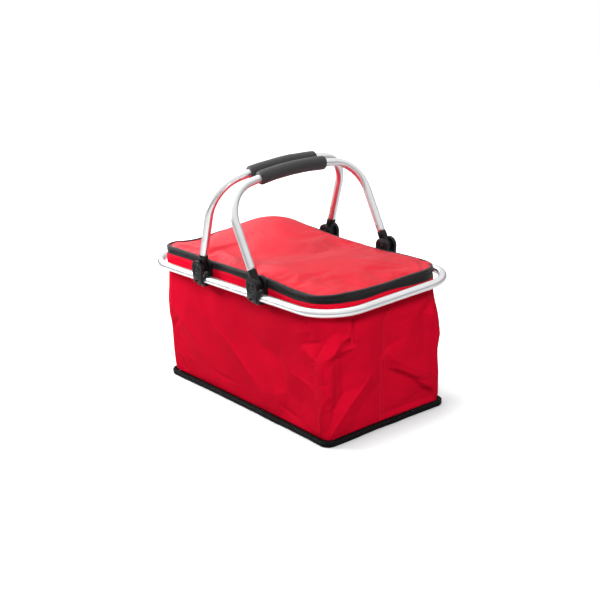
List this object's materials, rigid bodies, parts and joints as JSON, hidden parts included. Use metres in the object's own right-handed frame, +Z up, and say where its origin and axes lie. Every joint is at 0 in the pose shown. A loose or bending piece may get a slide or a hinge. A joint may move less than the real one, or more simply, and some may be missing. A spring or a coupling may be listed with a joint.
{
  "type": "insulated cooler bag",
  "caption": "Collapsible insulated shopping basket: aluminium rim and swing handles on clamp brackets, zipped foam-lined fabric tub on a stiff base.",
  "frame": {"origin": "middle of the underside, at the level the bag stands on", "axes": "+X along the bag's length, +Y across it towards the lid's hinge side, +Z up"},
  "size_m": [0.48, 0.2894, 0.3881],
  "materials": {
    "satin_aluminium": "satin anodised tube",
    "zinc_steel": "zinc plated",
    "black_plastic": "moulded, half gloss",
    "black_foam_grip": "satin closed-cell foam",
    "red_polyester": "woven, slight sheen",
    "black_binding": "woven binding tape",
    "white_foam": "closed-cell foam sheet",
    "silver_lining": "metallised film",
    "base_board": "plain sheet"
  },
  "bodies": {
    "base": {"bottom_panel": "black_binding", "base_board": "base_board", "foam_bottom": "white_foam", "base_piping": "black_binding", "shell_front": "red_polyester", "shell_rear": "red_polyester", "foam_front": "white_foam", "foam_rear": "white_foam", "lining": "silver_lining"},
    "rim": {"rim_tube": "satin_aluminium", "rim_joint_sleeve": "satin_aluminium", "bracket_outer_front_left": "black_plastic", "bracket_inner_front_left": "black_plastic", "pivot_pin_front_left": "black_plastic", "clamp_screw_front_left": "zinc_steel", "backing_plate_front_left": "black_plastic", "band_rivet_front_left": "zinc_steel", "bracket_outer_front_right": "black_plastic", "bracket_inner_front_right": "black_plastic", "pivot_pin_front_right": "black_plastic", "clamp_screw_front_right": "zinc_steel", "backing_plate_front_right": "black_plastic", "band_rivet_front_right": "zinc_steel", "bracket_outer_rear_left": "black_plastic", "bracket_inner_rear_left": "black_plastic", "pivot_pin_rear_left": "black_plastic", "clamp_screw_rear_left": "zinc_steel", "backing_plate_rear_left": "black_plastic", "band_rivet_rear_left": "zinc_steel", "bracket_outer_rear_right": "black_plastic", "bracket_inner_rear_right": "black_plastic", "pivot_pin_rear_right": "black_plastic", "clamp_screw_rear_right": "zinc_steel", "backing_plate_rear_right": "black_plastic", "band_rivet_rear_right": "zinc_steel", "mouth_band": "red_polyester", "zip_tape_lower": "black_binding", "zip_chain_lower": "black_plastic", "lid_hinge_strip": "black_binding"},
    "lid": {"lid_panel": "red_polyester", "lid_foam": "white_foam", "lid_lining": "silver_lining", "zip_tape_upper": "black_binding", "zip_chain_upper": "black_plastic"},
    "handle_left": {"handle_tube_left": "satin_aluminium", "grip_left": "black_foam_grip", "handle_end_front_left": "black_plastic", "handle_end_rear_left": "black_plastic", "handle_rivet_front_left": "zinc_steel", "handle_rivet_rear_left": "zinc_steel"},
    "handle_right": {"handle_tube_right": "satin_aluminium", "grip_right": "black_foam_grip", "handle_end_front_right": "black_plastic", "handle_end_rear_right": "black_plastic", "handle_rivet_front_right": "zinc_steel", "handle_rivet_rear_right": "zinc_steel"},
    "zip_slider": {"zip_slider": "zinc_steel"},
    "zip_pull": {"zip_pull": "black_plastic"}
  },
  "joints": [
    {"name": "collapse", "type": "slide", "parent": "base", "child": "rim", "axis": [0, 0, -1], "range_m": [0, 0.16], "deforming": ["shell_front", "shell_rear", "foam_front", "foam_rear", "lining"]},
    {"name": "lid_hinge", "type": "hinge", "parent": "rim", "child": "lid", "pos_m": [0, 0.1206, 0.2368], "axis": [-1, 0, 0], "range_deg": [0, 29]},
    {"name": "handle_left_hinge", "type": "hinge", "parent": "rim", "child": "handle_left", "pos_m": [-0.07, 0, 0.2278], "axis": [0, -1, 0], "range_deg": [0, 109]},
    {"name": "handle_right_hinge", "type": "hinge", "parent": "rim", "child": "handle_right", "pos_m": [0.07, 0, 0.2278], "axis": [0, 1, 0], "range_deg": [0, 113.9]},
    {"name": "zip_slide", "type": "slide", "parent": "rim", "child": "zip_slider", "axis": [-1, 0, 0], "range_m": [0, 0.024]},
    {"name": "zip_pull_hinge", "type": "hinge", "parent": "zip_slider", "child": "zip_pull", "pos_m": [-0.127, 0.1248, 0.2282], "axis": [0, 0, 1], "range_deg": [0, 180]}
  ]
}
